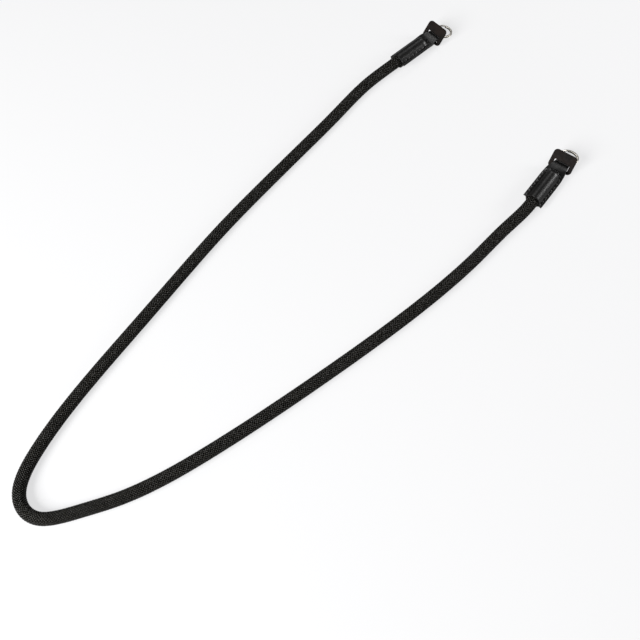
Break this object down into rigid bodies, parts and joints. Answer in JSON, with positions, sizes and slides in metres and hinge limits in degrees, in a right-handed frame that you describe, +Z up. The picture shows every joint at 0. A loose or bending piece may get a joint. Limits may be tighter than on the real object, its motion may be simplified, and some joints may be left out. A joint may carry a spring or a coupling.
{
  "type": "camera neck strap",
  "caption": "Round braided rope strap laid in an open loop, with a stitched leather tab, a slotted guard and a flat split ring at each end.",
  "frame": {"origin": "on the surface the strap lies on, midway between the fittings of its two ends", "axes": "+X from the left end's fittings to the right end's, +Z up; the rope's loop reaches towards -Y"},
  "size_m": [0.2473, 0.5373, 0.0144],
  "materials": {
    "braided_nylon": "matte braid with a soft sheen on each strand",
    "black_leather": "satin, fine grain",
    "dark_brown_leather": "matte, worn edges",
    "nickel_plated_steel": "polished plating"
  },
  "bodies": {
    "root": {"rope": "braided_nylon", "left_end_tab": "black_leather", "right_end_tab": "black_leather", "left_guard": "dark_brown_leather", "right_guard": "dark_brown_leather", "left_ring": "nickel_plated_steel", "right_ring": "nickel_plated_steel"}
  },
  "joints": []
}
